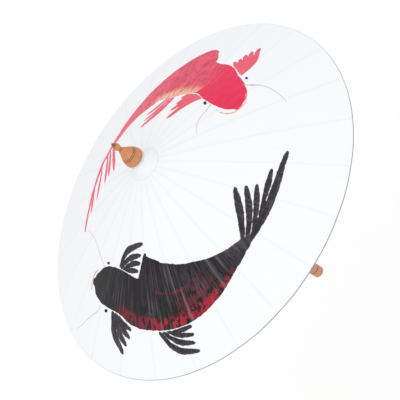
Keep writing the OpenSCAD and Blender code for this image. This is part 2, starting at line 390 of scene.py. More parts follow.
def painted_paper(name):
    """Colour, roughness and relief of the painted paper, from the attributes that the painter leaves on it."""
    g, given, out = node_group(
        name, "ShaderNodeTree",
        {"Paper": COLOUR, "Hem": COLOUR, "Whisker": COLOUR, "Paint": 1.0, "Rib Shade": 1.0},
        {"Color": COLOUR, "Roughness": FLOAT, "Height": FLOAT},
    )
    radius, angle, rib_away = g.split(g.attribute("polar")["Vector"])
    # Fibres of the paper, lying every way
    across = angle * 260.0
    flat = g.round(radius, angle)
    pulp = g.noise(flat, 0.9, 4.0, 0.65, 1.4)
    cloudy = g.noise(flat, 0.018, 2.0)
    tone = pulp * 0.03 + cloudy * 0.03
    paper = g.mix(tone, given["Paper"], (0.66, 0.68, 0.72))
    # The ribs show through as faint grey lines, partly the glued strips' own tone and partly painted shade of the
    # ribs under the paper, with fine creases that run with them
    crease_relief_and_shade = g.noise(g.join(radius * 0.006, across * 0.42), 1.0, 2.0)
    line = g.ramp(rib_away, 0.5, 5.0, 1.0, 0.0)
    shown = line * given["Rib Shade"] * g.ramp(crease_relief_and_shade, 0.2, 0.7, 0.35, 1.0)
    paper = g.mix(shown * 0.13, paper, (0.55, 0.57, 0.61))
    # Painted shade: the paper greys a little along its fine creases
    paper = g.mix(g.ramp(crease_relief_and_shade, 0.58, 0.80, 0.0, 0.05), paper, (0.52, 0.55, 0.60))
    paper = g.mix(g.ramp(g.attribute("roll")["Fac"], 0.2, 0.5), paper, given["Hem"])
    # Paint: streaked by the ridges under the brush, and thin where the brush was dry
    paint = g.attribute("paint")["Color"]
    brush = g.attribute("brush")["Vector"]
    streak_at = g.join(radius * 0.01, across * 0.34)
    streak = g.noise(streak_at, 1.0, 3.0, 0.62)
    fine = (g.noise(flat, 0.35, 3.0) - 0.5) * 1.4
    wobble = (g.noise(flat, 0.085, 2.0) - 0.5) * 4.0
    ragged = fine + wobble
    covers = 0.0
    for gap in g.split(g.attribute("edges")["Vector"]):
        covers = g.math("MAXIMUM", covers, g.ramp(gap + ragged, -0.5, 0.4, 1.0, 0.0))
    _, _, scaled = g.split(brush)
    dab = g.group("Scale Dabs", {"Vector": brush})[0]
    dark_fish = g.math("GREATER_THAN", scaled, 0.0)
    wet = g.ramp(g.noise(flat, 0.06, 2.0), 0.35, 0.7) * 0.18
    colour = g.mix(wet, paint, g.mix(0.35, paint, (0.02, 0.0, 0.01)))
    dab_colour = g.mix(dark_fish, (0.50, 0.018, 0.055), (0.008, 0.006, 0.008))
    colour = g.mix(dab * abs(scaled), colour, dab_colour)
    # Ridges of the paper leave pale streaks in the paint, a few of them broad
    thin = g.ramp(streak, 0.5, 0.85) * 0.15
    worn_at = g.join(radius * 0.006, across * 0.085, 5.0)
    worn = g.ramp(g.noise(worn_at, 1.0, 2.0), 0.55, 0.82) * 0.17
    colour = g.mix(thin + worn * abs(scaled), colour, (0.8, 0.78, 0.84))
    covered = covers * given["Paint"]
    painted = g.mix(covered, paper, colour)
    # Barbels: where the signed distance passes zero near a whisker
    signed, unsigned, half = g.split(g.attribute("whisker")["Vector"])
    on_line = g.ramp(abs(signed) - half, -0.3, 0.4, 1.0, 0.0) * g.ramp(unsigned, 2.6, 3.2, 1.0, 0.0)
    painted = g.mix(on_line * 0.95 * given["Paint"], painted, given["Whisker"])
    g.put(out.inputs["Color"], painted)
    g.put(out.inputs["Roughness"], pulp * 0.16 + covered * -0.08)
    g.put(out.inputs["Height"], pulp + (covered * 0.3 + crease_relief_and_shade))
    return g.tree


SHADER_GROUPS = {
    "Long Fibres": long_fibres,
    "Band": band,
    "Spoke Space": spoke_space,
    "Scale Dabs": scale_dabs,
    "Painted Paper": painted_paper,
}


def new_material(name):
    """A material with one Principled BSDF, and its graph and the shader node."""
    material = bpy.data.materials.new(name)
    material.use_nodes = True
    shader = material.node_tree.nodes["Principled BSDF"]
    return material, Graph(material.node_tree), shader


def bump(g, shader, height, strength, distance):
    node = g.add("ShaderNodeBump", {"Height": height, "Strength": strength, "Distance": distance})
    g.put(shader.inputs["Normal"], node.outputs[0])


def paper_material(name, settings, paint, under=False):
    material, g, shader = new_material(name)
    # The underside shows the paint and the painted shade of the ribs more faintly
    bare, shows_paint, rib_shade_strength = (settings.under_colour, 0.38, 0.3) if under else (settings.colour, 1.0, 1.0)
    made = g.group("Painted Paper", {
        "Paper": tuple(bare), "Hem": tuple(settings.hem_colour), "Whisker": tuple(paint.whisker),
        "Paint": shows_paint, "Rib Shade": rib_shade_strength,
    })
    g.put(shader.inputs["Base Color"], made["Color"])
    g.put(shader.inputs["Roughness"], made["Roughness"] + 0.42)
    g.put(shader.inputs["Specular IOR Level"], 0.22)
    bump(g, shader, made["Height"], 0.25, 0.0002)
    return material


def object_place(g):
    """Object coordinates in metres."""
    return g.made("ShaderNodeTexCoord")["Object"]


def millimetres(g):
    """Object coordinates in mm."""
    return g.made("ShaderNodeVectorMath", {0: object_place(g), 3: 1000.0}, operation="SCALE")[0]


def bamboo_material(name, wood, slope):
    """Split bamboo whose fibres run along the spokes. slope is the spoke's rise for each unit outwards."""
    material, g, shader = new_material(name)
    spoke = g.group("Spoke Space", {"Vector": object_place(g), "Slope": slope})
    seed = spoke["Spoke"] * 13.7
    fibres = g.group("Long Fibres", {"Vector": spoke["Vector"], "Length": 48.0, "Width": 0.55, "Seed": seed})
    along = g.split(spoke["Vector"])[0]
    # Nodes of the cane, at a different place on each spoke
    offset = g.sin(spoke["Spoke"] * 2.4) * 55.0
    step = g.math("PINGPONG", along + offset, 78.0)
    knot, glow = (
        g.group("Band", {"Height": step, "Middle": 0.0, "Half Width": half, "Soft": soft})[0]
        for half, soft in ((0.7, 0.5), (4.0, 3.0))
    )
    light, dark = tuple(wood.bamboo), tuple(wood.bamboo_dark)
    colour = g.mix(fibres["Streaks"] * 0.45, light, dark)
    colour = g.mix(fibres["Broad"] * 0.35, colour, (0.78, 0.6, 0.34))
    colour = g.mix(glow * 0.25, colour, (0.8, 0.66, 0.42))
    colour = g.mix(knot * 0.75, colour, (0.2, 0.1, 0.045))
    g.put(shader.inputs["Base Color"], colour)
    g.put(shader.inputs["Roughness"], g.ramp(fibres["Streaks"], 0.0, 1.0, 0.36, 0.55))
    bump(g, shader, fibres["Streaks"] - knot * 2.0, 0.3, 0.0002)
    return material


def turned_wood(name, colour, dark, rings=(), tip=None, upright=30.0, rough=0.42, pores=0.35):
    """Wood turned about the shaft. rings are (height, half width, strength) of scorched rings, in mm."""
    material, g, shader = new_material(name)
    place = millimetres(g)
    x, y, z = g.split(place)
    # Growth rings about a heart beside the piece, bent by slow noise, and fibres along the piece
    sway = g.noise(g.join(x * 0.05, y * 0.05, z * 0.012), 1.0, 2.0)
    heart_x = x + 31.0 + sway * 9.0
    heart_y = y + 12.0
    away = g.math("SQRT", heart_x * heart_x + heart_y * heart_y)
    growth = g.ramp(g.sin((away + z * 0.05) * 2.1), -0.6, 1.0)
    fibres = g.group("Long Fibres", {"Vector": g.join(z, x, y), "Length": upright, "Width": 0.7})
    made = g.mix(growth * 0.45, colour, dark)
    made = g.mix(fibres["Streaks"] * pores, made, dark)
    made = g.mix(fibres["Broad"] * 0.25, made, tuple(min(1.0, c * 1.35) for c in colour))
    scorched = 0.0
    for height, half, strength in rings:
        wavy, soft = z + (sway - 0.5) * 0.8, max(0.25, half * 0.45)
        mask = g.group("Band", {"Height": wavy, "Middle": height, "Half Width": half, "Soft": soft})[0]
        scorched = g.math("MAXIMUM", scorched, mask * strength)
    if tip:
        scorched = g.math("MAXIMUM", scorched, g.ramp(z, tip[0], tip[1]) * tip[2])
    burn = tuple(bpy.context.scene.umbrella_wood.burn)
    patchy = scorched * g.ramp(g.noise(place, 0.35, 3.0), 0.25, 0.6, 0.55, 1.0)
    g.put(shader.inputs["Base Color"], g.mix(patchy, made, burn))
    g.put(shader.inputs["Roughness"], fibres["Streaks"] * 0.15 + rough)
    relief = fibres["Streaks"] * 0.6 - scorched
    tool = g.sin(z * 9.0) * 0.08
    bump(g, shader, relief + tool, 0.35, 0.00025)
    return material


def thread_material(name, colour, turns):
    """Twisted thread laid in rings round the shaft."""
    material, g, shader = new_material(name)
    x, y, z = g.split(millimetres(g))
    around = g.math("ARCTAN2", y, x) * turns
    twist = g.sin(around + z * 7.0)
    lay = g.ramp(twist, -0.9, 0.9)
    fuzz = g.noise(millimetres(g), 2.5, 2.0)
    dark = tuple(c * 0.45 for c in colour)
    g.put(shader.inputs["Base Color"], g.mix(lay * fuzz, colour, dark))
    g.put(shader.inputs["Roughness"], g.ramp(fuzz, 0.2, 0.8, 0.65, 0.9))
    g.put(shader.inputs["Sheen Weight"], 0.2)
    bump(g, shader, lay, 0.5, 0.0002)
    return material


# ---------------------------------------------------------------- the painter


def curve_through(rows, steps=10):
    """Smooth curve through rows of numbers, such as x, y and widths."""
    p = np.array(rows, float)
    p = np.vstack([2 * p[0] - p[1], p, 2 * p[-1] - p[-2]])
    out = []
    for i in range(1, len(p) - 2):
        a, b, c, d = p[i - 1 : i + 3]
        for t in np.arange(steps) / steps:
            out.append(
                0.5 * (2 * b + (c - a) * t + (2 * a - 5 * b + 4 * c - d) * t**2 + (3 * b - a - 3 * c + d) * t**3)
            )
    out.append(p[-2])
    return np.array(out)


def nearest(path, x, y):
    """For each point: length along the path, distance with its side (left is plus), the path's other columns there,
    and the whole length of the path."""
    a, b = path[:-1], path[1:]
    step = (b - a)[:, :2]
    length = np.maximum(np.hypot(step[:, 0], step[:, 1]), 1e-9)
    start = np.concatenate([[0], np.cumsum(length)[:-1]])
    dx, dy = x[:, None] - a[None, :, 0], y[:, None] - a[None, :, 1]
    t = np.clip((dx * step[:, 0] + dy * step[:, 1]) / length**2, 0, 1)
    away = np.hypot(dx - t * step[:, 0], dy - t * step[:, 1])
    best = away.argmin(1)
    row = np.arange(len(x))
    t, away = t[row, best], away[row, best]
    side = np.where(step[best, 0] * dy[row, best] - step[best, 1] * dx[row, best] >= 0, 1.0, -1.0)
    rest = a[best, 2:] + (b - a)[best, 2:] * t[:, None]
    return start[best] + t * length[best], away * side, rest, start[-1] + length[-1]


def grain(x, y, size, seed=0):
    """Smooth random field from 0 to 1 with patches of about size mm."""
    u, v = x / size, y / size
    i, j = np.floor(u), np.floor(v)
    fu, fv = u - i, v - j
    fu, fv = fu * fu * (3 - 2 * fu), fv * fv * (3 - 2 * fv)

    def corner(p, q):
        value = np.sin(p * 127.1 + q * 311.7 + seed * 74.7) * 43758.5453
        return value - np.floor(value)

    low = corner(i, j) * (1 - fu) + corner(i + 1, j) * fu
    high = corner(i, j + 1) * (1 - fu) + corner(i + 1, j + 1) * fu
    return low * (1 - fv) + high * fv


def step_up(value, low, high):
    t = np.clip((value - low) / (high - low), 0, 1)
    return t * t * (3 - 2 * t)


def blend_rows(a, b, t):
    return a + (b - a) * t[:, None]


def stroke(root, tip, bow, root_half, belly_half, tip_half=0.8, full=0.35):
    """A tapered brush stroke from root to tip that bows sideways, as rows of x, y and half width.
    full is the share of its length where it is widest."""
    root, tip = np.array(root, float), np.array(tip, float)
    side = np.array([-(tip - root)[1], (tip - root)[0]]) / np.hypot(*(tip - root))
    waist = root_half + (belly_half - root_half) * 0.6
    rows = []
    for t, half in ((0, root_half), (full / 2, waist), (full, belly_half), (0.94, belly_half * 0.6), (1, tip_half)):
        centre = root + (tip - root) * t + side * bow * 4 * t * (1 - t)
        rows.append((*centre, half))
    return curve_through(rows, 6)


class Fish:
    """A koi: a spine with half widths, fans of strokes for fins and tail, eyes and barbels."""

    def __init__(self, spine, fins, tail, eyes, whiskers, snout, snout_colour, paint_body, paint_fin):
        # Rows of x, y, half width on the inner side and on the outer side
        self.spine = curve_through(spine, 12)
        self.fins = [stroke(*s) for s in fins]
        self.tail = [stroke(*s) for s in tail]
        self.eyes = [(np.array([start, end], float), half) for start, end, half in eyes]
        self.whiskers = [curve_through(w, 10) for w in whiskers]
        self.snout = curve_through(snout, 8)
        self.snout_colour = np.array(snout_colour)
        self.paint_body = paint_body
        self.paint_fin = paint_fin


def near(path, x, y, margin):
    """Which points lie within margin of the path's own box."""
    reach = margin + (path[:, 2:].max() if path.shape[1] > 2 else 0)
    return (
        (x > path[:, 0].min() - reach)
        & (x < path[:, 0].max() + reach)
        & (y > path[:, 1].min() - reach)
        & (y < path[:, 1].max() + reach)
    )


def dark_koi(paint):
    ink, pale, wine = (np.array(c) for c in (paint.ink, paint.ink_pale, paint.wine))

    def body(s, off, share, x, y):
        """share is the offset over the half width: -1 at the outer belly, 1 at the back's edge."""
        thin = step_up(s, 390, 520) * 0.8 + step_up(grain(x, y, 50, 3), 0.5, 0.9) * 0.28 * step_up(s, 150, 220)
        colour = blend_rows(ink, pale, np.clip(thin, 0, 1))
        belly = step_up(-share, 0.38, 0.66) * step_up(s, 95, 140) * (1 - step_up(s, 395, 430))
        belly = belly * (1 - step_up(-share, 0.93, 0.97) * 0.7)
        patches = step_up(grain(s * 1.3, off * 0.9, 17, 5), 0.12, 0.50)
        strong = 0.50 + 0.50 * step_up(s, 180, 225) * (1 - step_up(s, 330, 380) * 0.6)
        flush = (1 - step_up(np.abs(off + 12), 10, 40)) * step_up(s, 240, 300) * (1 - step_up(s, 330, 400)) * 0.22
        colour = blend_rows(colour, wine, np.clip(belly * patches * strong + flush, 0, 1))
        seam = 1 - step_up(np.abs(off - 31 - 9 * np.sin(s / 60)), 0.8, 3.0)
        seam = seam * step_up(s, 190, 225) * (1 - step_up(s, 330, 380))
        colour = blend_rows(colour, wine * 0.5, np.clip(seam * 0.85, 0, 1))
        return colour, 0.02 + 0.9 * step_up(s, 90, 170) * (1 - step_up(s, 400, 500) * 0.6)

    def fin(t, off, x, y):
        rays = step_up(grain(off * 2.6, t * 30, 2.4, 9), 0.55, 0.9)
        return blend_rows(ink, pale, np.clip(rays * 0.45 + t * 0.25, 0, 1))

    spine = [
        (-272, 50, 8, 8), (-269, 38, 20, 26), (-264, 12, 36, 37), (-260, -20, 43, 40), (-256, -60, 44, 40),
        (-254, -88, 44, 44), (-254, -95, 52, 45), (-253, -104, 84, 46), (-250, -116, 97, 47), (-246, -130, 92, 47),
        (-226, -180, 84, 44), (-188, -225, 73, 41), (-135, -258, 51, 33), (-80, -278, 28, 19), (-25, -288, 11, 10),
    ]
    fins = [
        # Inner breast fin
        ((-208, -31), (-143, -79), 12, 4, 7.5, 2.0, 0.5), ((-209, -37), (-165, -84), 7, 4, 6.5, 1.5, 0.65),
        ((-210, -45), (-179, -89), 4, 4, 6, 1.2, 0.65), ((-211, -53), (-196, -89), 2, 4, 5.5, 1.0, 0.6),
        # Outer breast fin
        ((-301, -42), (-360, -104), -12, 5, 9.0, 1.5, 0.5), ((-302, -52), (-342, -108), -7, 5, 7.5, 1.2, 0.6),
        ((-303, -60), (-324, -112), -4, 5, 7, 1.2, 0.6), ((-303, -68), (-308, -111), -2, 5, 5.5, 1.0, 0.6),
        # Belly fin
        ((-276, -190), (-257, -290), -16, 4, 6.5, 1.2, 0.6), ((-270, -196), (-249, -275), -9, 3, 6.0, 1.0, 0.6),
        ((-264, -204), (-237, -266), -5, 3, 5.2, 1.0, 0.6), ((-258, -212), (-225, -256), -4, 3, 5.0, 1.0, 0.6),
    ]
    tail = [
        ((-24, -279), (55, -208), -4, 4.5, 8.0, 1.2, 0.60), ((-22, -288), (70, -224), -7, 4, 7.2, 1.2, 0.66),
        ((-8, -292), (84, -241), -4, 2.5, 6.4, 1.0, 0.70), ((24, -286), (126, -245), -2, 2, 6.0, 1.0, 0.72),
        ((-46, -291), (173, -244), -17, 5, 8.0, 1.4, 0.55),
    ]
    whiskers = [
        [(-306, 6, 0.9), (-322, 14, 0.9), (-340, 35, 0.8), (-370, 65, 0.55), (-386, 86, 0.4)],
        [(-230, 26, 0.75), (-215, 55, 0.75), (-195, 95, 0.6), (-188, 140, 0.4)],
    ]
    snout = [(-290, 56, 1.3), (-268, 60, 1.6), (-250, 52, 1.4), (-240, 38, 0.8)]
    eyes = [((-307, -21), (-309, -15), 3.0), ((-218, 10), (-220, 16), 3.1)]
    return Fish(spine, fins, tail, eyes, whiskers, snout, (0.55, 0.33, 0.27), body, fin)


def red_koi(paint):
    crimson, rose, salmon, cream = (np.array(c) for c in (paint.crimson, paint.rose, paint.salmon, paint.cream))

    def body(s, off, share, x, y):
        # The gill cover ends crisply on the belly's side and fades on the back's
        gill = 128 + 14 * share**2
        soft = np.where(share > 0.15, 4.0, 40.0)
        colour = blend_rows(crimson, rose, step_up(s, gill - soft * 0.3, gill + soft))
        streaks = step_up(grain(s * 0.35, off * 1.6, 12, 2), 0.45, 0.9)
        colour = blend_rows(colour, crimson * 0.78, streaks * 0.6 * step_up(s, 110, 170))
        pale = step_up(grain(x * 0.7 + y * 0.7, x * 0.3 - y * 0.3, 15, 8), 0.45, 0.9) * 0.45 * step_up(s, 170, 240)
        colour = blend_rows(colour, salmon * 1.12, np.clip(pale + 0.30 * step_up(s, 330, 430), 0, 1))
        belly = step_up(share, 0.42, 0.92) * step_up(s, gill - 1, gill + 4) * (1 - step_up(s, 300, 350))
        colour = blend_rows(colour, cream, np.clip(belly * 0.9, 0, 1))
        return colour, -0.50 * step_up(s, 132, 165) * (1 - step_up(s, 350, 420))

    def fin(t, off, x, y):
        rays = step_up(grain(off * 2.6, t * 30, 2.4, 4), 0.45, 0.9)
        return blend_rows(salmon, crimson * 0.9, np.clip(rays * 0.55 + t * 0.2, 0, 1))

    spine = [
        (204, -82, 9, 8), (208, -68, 24, 26), (217, -36, 36, 37), (225, 5, 42, 42), (232, 45, 44, 47),
        (231, 82, 54, 42), (229, 94, 57, 50), (226, 108, 59, 70), (221, 122, 61, 86), (203, 155, 58, 74),
        (172, 190, 51, 49), (125, 214, 41, 31), (70, 226, 25, 18), (0, 228, 10, 9),
    ]
    fins = [
        # Inner breast fin
        ((184, 25), (109, 56), -8, 5, 8.0, 1.5, 0.5), ((185, 33), (128, 71), -6, 4, 7.0, 1.2, 0.6),
        ((186, 41), (147, 76), -4, 4, 6.5, 1.2, 0.6), ((187, 49), (163, 80), -3, 4, 5.5, 1.0, 0.6),
        # Outer breast fin
        ((272, -8), (342, 29), -9, 4, 8.5, 1.2, 0.5), ((273, 0), (329, 36), -6, 4, 7.5, 1.2, 0.6),
        ((275, 8), (316, 42), -5, 4, 7.0, 1.0, 0.6), ((277, 16), (302, 43), -3, 4, 6.0, 1.0, 0.6),
        ((279, 26), (290, 48), -1, 4, 5.0, 1.0, 0.6),
        # Belly fin
        ((163, 112), (65, 131), 10, 5, 7.5, 1.5, 0.55), ((158, 122), (81, 140), 7, 4, 5.8, 1.2, 0.6),
        ((152, 130), (95, 153), 4, 4, 5.4, 1.0, 0.6),
    ]
    tail = [
        ((6, 229), (-193, 160), -17, 7, 7.4, 1.4, 0.30), ((-92, 211), (-155, 162), 3, 2, 5.0, 1.6, 0.7),
        ((-50, 222), (-121, 156), 5, 2, 5.2, 1.8, 0.7), ((-24, 226), (-81, 146), 4, 2.5, 5.4, 2.0, 0.7),
        ((-12, 226), (-62, 144), 3, 2.5, 5.2, 2.2, 0.75), ((0, 225), (-45, 127), 2, 4, 6.0, 2.6, 0.75),
    ]
    whiskers = [
        [(180, -19, 0.8), (165, -23, 0.8), (148, -27, 0.75), (128, -37, 0.65), (110, -56, 0.4)],
        [(254, -47, 0.9), (264, -66, 0.9), (271, -97, 0.75), (269, -129, 0.6), (262, -160, 0.4)],
        [(180, -17, 0.9), (168, -23, 0.8), (163, -27, 0.5)],
        [(252, -42, 0.9), (257, -56, 0.8), (259, -66, 0.5)],
    ]
    snout = [(176, -34, 0.8), (175, -62, 1.4), (185, -83, 1.7), (203, -89, 1.7), (222, -84, 1.4), (236, -70, 0.8)]
    eyes = [((176, -5), (178, 1), 3.1), ((267, -32), (269, -28), 3.0)]
    return Fish(spine, fins, tail, eyes, whiskers, snout, (0.86, 0.42, 0.36), body, fin)


def paint_points(fishes, x, y):
    """Paints points given in plan, in mm: their colour, the distances to three layers of shapes, and the values
    for brush and whiskers. Strokes side by side are in different layers, so the gaps between them stay crisp."""
    n = len(x)
    colour = np.full((n, 3), 0.5)
    edges = np.full((n, 3), FAR)
    brush = np.zeros((n, 3))
    whisker = np.tile([FAR, FAR, 0.4], (n, 1))
    margin = 9.0

    def lay(layer, where, distance, made, place=None, amount=None):
        """Lays one shape over the ones before. Its colour counts inside it, and outside where it is nearest."""
        over = (distance < 0.8) | (distance < edges[where].min(1))
        index = np.flatnonzero(where)[over]
        colour[index] = made[over]
        if place is not None:
            brush[index, :2] = place[over]
        brush[index, 2] = amount[over] if amount is not None else 0.0
        edges[where, layer] = np.minimum(edges[where, layer], distance)

    for fish in fishes:
        box = near(fish.spine, x, y, margin)
        body_gap = np.full(n, FAR)
        if box.any():
            s, off, widths, _ = nearest(fish.spine, x[box], y[box])
            half = np.where(off > 0, widths[:, 0], widths[:, 1])
            body_gap[box] = np.abs(off) - half
        strokes = [(p, 1.4) for p in fish.fins] + [(p, -3.0) for p in fish.tail]
        for k, (path, gap) in enumerate(strokes):
            w = near(path, x, y, margin)
            if not w.any():
                continue
            t, away, halves, total = nearest(path, x[w], y[w])
            distance = np.maximum(np.abs(away) - halves[:, 0], gap - body_gap[w])
            lay(1 + k % 2, w, distance, fish.paint_fin(t / total, away, x[w], y[w]))
        if box.any():
            share = off / np.maximum(half, 1.0)
            made, amount = fish.paint_body(s, off, share, x[box], y[box])
            lay(0, box, body_gap[box], made, np.column_stack([s, off]), amount)
        w = near(fish.snout, x, y, margin)
        if w.any():
            _, away, halves, _ = nearest(fish.snout, x[w], y[w])
            lay(1, w, np.abs(away) - halves[:, 0], np.tile(fish.snout_colour, (w.sum(), 1)))
        for path, half in fish.eyes:
            w = near(path, x, y, margin)
            if w.any():
                away = np.abs(nearest(path, x[w], y[w])[1])
                lay(2, w, away - half, np.tile([0.006, 0.006, 0.008], (w.sum(), 1)))
        for path in fish.whiskers:
            w = near(path, x, y, margin)
            if w.any():
                _, away, halves, _ = nearest(path, x[w], y[w])
                closer = np.abs(away) < whisker[w, 1]
                index = np.flatnonzero(w)[closer]
                whisker[index] = np.column_stack([away, np.abs(away), halves[:, 0]])[closer]
    return colour, edges, brush, whisker


# ---------------------------------------------------------------- meshes


def link(obj):
    bpy.context.scene.collection.objects.link(obj)
    return obj


def set_inputs(modifier, tree, values):
    """Sets a Geometry Nodes modifier's inputs, by their sockets' identifiers."""
    names = {item.name: item.identifier for item in tree.interface.items_tree if item.item_type == "SOCKET"}
    for name, value in values.items():
        modifier[names[name]] = value


def from_nodes(name, tree, values):
    """A plain mesh object from one run of a Geometry Nodes tree."""
    seed = link(bpy.data.objects.new(name + "_seed", bpy.data.meshes.new(name + "_seed")))
    modifier = seed.modifiers.new("Build", "NODES")
    modifier.node_group = tree
    set_inputs(modifier, tree, values)
    graph = bpy.context.evaluated_depsgraph_get()
    shaped = seed.evaluated_get(graph)
    mesh = bpy.data.meshes.new_from_object(shaped, preserve_all_data_layers=True, depsgraph=graph)
    spare = seed.data
    seed.modifiers.remove(modifier)
    bpy.data.objects.remove(seed)
    bpy.data.meshes.remove(spare)
    mesh.name = name
    return link(bpy.data.objects.new(name, mesh))


def paper_panel_tree(name):
    """One piece of the canopy: the strip over a rib, or half a gore beside it, with its rolled hem at the rim."""
    g, given, out = node_group(
        name, "GeometryNodeTree",
        {
            "Rib Angle": 0.0, "Side": 1.0, "From Edge": 1.0, "To Middle": 1.0,
            "Half Pitch": PITCH / 2, "Strip Half Width": 0.0027, "Inner Radius": 0.0285,
            "Rim Radius": 0.419, "Full Radius": RIM_R * MM, "Rim Height": RIM_Z * MM,
            "Rise": RISE * MM, "Bow": BOW, "Flattening": 0.8, "Hem Radius": 0.0009,
            "Rows": 150, "Hem Rows": 7, "Columns": 20, "Material": MATERIAL,
        },
        {"Geometry": GEOMETRY},
    )
    all_rows = given["Rows"] + given["Hem Rows"]
    grid, x, y = g.grid(all_rows + 1.0, given["Columns"])
    row = (x + 0.5) * all_rows
    share = g.math("MINIMUM", row / given["Rows"], 1.0)
    reach = given["Rim Radius"] - given["Inner Radius"]
    radius = given["Inner Radius"] + share * reach
    # Angle from the rib, between the strip's edge and the middle of the gore
    at_strip = g.math("ARCSINE", given["Strip Half Width"] / radius)
    begin = given["From Edge"] * at_strip
    wide = (given["Half Pitch"] - at_strip) * given["To Middle"]
    end = at_strip + wide
    turn = begin + (end - begin) * (y + 0.5)
    # Between ribs the paper lies flatter than the round surface
    from_middle = given["Half Pitch"] - abs(turn)
    chord = g.cos(from_middle) / g.cos(given["Half Pitch"])
    taut = 1.0 + (chord - 1.0) * given["Flattening"]
    rule = radius * taut
    fall = 1.0 - rule / given["Full Radius"]
    height = given["Rise"] + rule * given["Bow"]
    height = given["Rim Height"] + fall * height
    # The hem rolls down and back on a small circle about the rim thread
    slope = g.math("ARCTANGENT", given["Rise"] / given["Full Radius"] + given["Bow"])
    hem_share = g.math("MAXIMUM", row - given["Rows"], 0.0) / given["Hem Rows"]
    roll = hem_share * HEM_TURN
    back = g.cos(roll) - 1.0
    outwards = g.sin(roll)
    rolled_r = outwards * g.cos(slope) + back * g.sin(slope)
    rolled_z = back * g.cos(slope) - outwards * g.sin(slope)
    full_r = radius + rolled_r * given["Hem Radius"]
    full_z = height + rolled_z * given["Hem Radius"]
    angle = given["Rib Angle"] + turn * given["Side"]
    place = g.round(full_r, angle, full_z)
    # What the paper's material reads: radius and distance from the rib in mm, and the angle
    away = abs(turn) * (radius * 1000.0)
    polar = g.join(full_r * 1000.0, angle, away)
    kept = g.store(grid, "polar", polar, "FLOAT_VECTOR")
    kept = g.store(kept, "roll", roll, "FLOAT")
    moved = g.add("GeometryNodeSetPosition", {"Geometry": kept, "Position": place})
    turned_over = g.add(
        "FunctionNodeCompare", {0: given["Side"], 1: 0.0}, data_type="FLOAT", operation="LESS_THAN"
    )
    faced = g.add("GeometryNodeFlipFaces", {"Mesh": moved.outputs[0], "Selection": turned_over.outputs[0]})
    smooth = g.add("GeometryNodeSetShadeSmooth", {0: faced.outputs[0]})
    # A sharp border keeps the paper's thickness out of its upper face's shading
    border = g.add("FunctionNodeCompare", data_type="INT", operation="EQUAL")
    g.put(border.inputs[2], g.add("GeometryNodeInputMeshEdgeNeighbors").outputs[0])
    g.put(border.inputs[3], 1)
    crisp = g.add("GeometryNodeSetShadeSmooth", domain="EDGE")
    for socket, value in zip(crisp.inputs, (smooth.outputs[0], border.outputs[0], False)):
        g.put(socket, value)
    return g.finish(out, crisp.outputs[0], given["Material"])


def cap_tree(name):
    """The gathered paper cap under the finial, with small pleats that fade towards its neck."""
    g, given, out = node_group(
        name, "GeometryNodeTree",
        {
            "Foot Radius": 0.0385, "Neck Radius": 0.020, "Foot Height": 0.6139,
            "Neck Height": 0.6425, "Pleats": 24.0, "Pleat Depth": 0.0006,
            "Rows": 28, "Columns": 288, "Material": MATERIAL,
        },
        {"Geometry": GEOMETRY},
    )
    grid, x, y = g.grid(given["Rows"], given["Columns"] + 1.0)
    share = x + 0.5
    angle = (y + 0.5) * (2 * math.pi)
    spread = (1.0 - share) ** 2.5
    radius = given["Neck Radius"] + spread * (given["Foot Radius"] - given["Neck Radius"])
    wave = g.sin(angle * given["Pleats"])
    second = g.sin(angle * 5.0) * 0.35
    depth = given["Pleat Depth"] * (0.35 + share * 0.65)
    radius = radius + depth * (wave + second)
    height = given["Foot Height"] + share * (given["Neck Height"] - given["Foot Height"])
    place = g.round(radius, angle, height)
    moved = g.add("GeometryNodeSetPosition", {"Geometry": grid, "Position": place})
    closed = g.add("GeometryNodeMergeByDistance", {"Geometry": moved.outputs[0], "Distance": 1e-5})
    faced = g.add("GeometryNodeFlipFaces", {"Mesh": closed.outputs[0]})
    smooth = g.add("GeometryNodeSetShadeSmooth", {0: faced.outputs[0]})
    return g.finish(out, smooth.outputs[0], given["Material"])


def winding_tree(name):
    """Thread wound round the shaft's axis in touching turns."""
    g, given, out = node_group(
        name, "GeometryNodeTree",
        {"Radius": 0.0207, "Height": 0.638, "Thread Radius": 0.0005, "Turns": 4.0, "Material": MATERIAL},
        {"Geometry": GEOMETRY},
    )
    pitch = given["Thread Radius"] * 2.0
    coil = g.add("GeometryNodeCurveSpiral", {
        "Resolution": 72, "Rotations": given["Turns"], "Start Radius": given["Radius"],
        "End Radius": given["Radius"], "Height": given["Turns"] * pitch,
    })
    lift = g.join(0.0, 0.0, given["Height"])
    raised = g.made("GeometryNodeSetPosition", {"Geometry": coil.outputs[0], "Offset": lift})[0]
    ring = {"Resolution": 8, "Radius": given["Thread Radius"]}
    section = g.made("GeometryNodeCurvePrimitiveCircle", ring, mode="RADIUS")[0]
    tube = g.add("GeometryNodeCurveToMesh", {"Curve": raised, "Profile Curve": section, "Fill Caps": True})
    smooth = g.add("GeometryNodeSetShadeSmooth", {0: tube.outputs[0]})
    return g.finish(out, smooth.outputs[0], given["Material"])


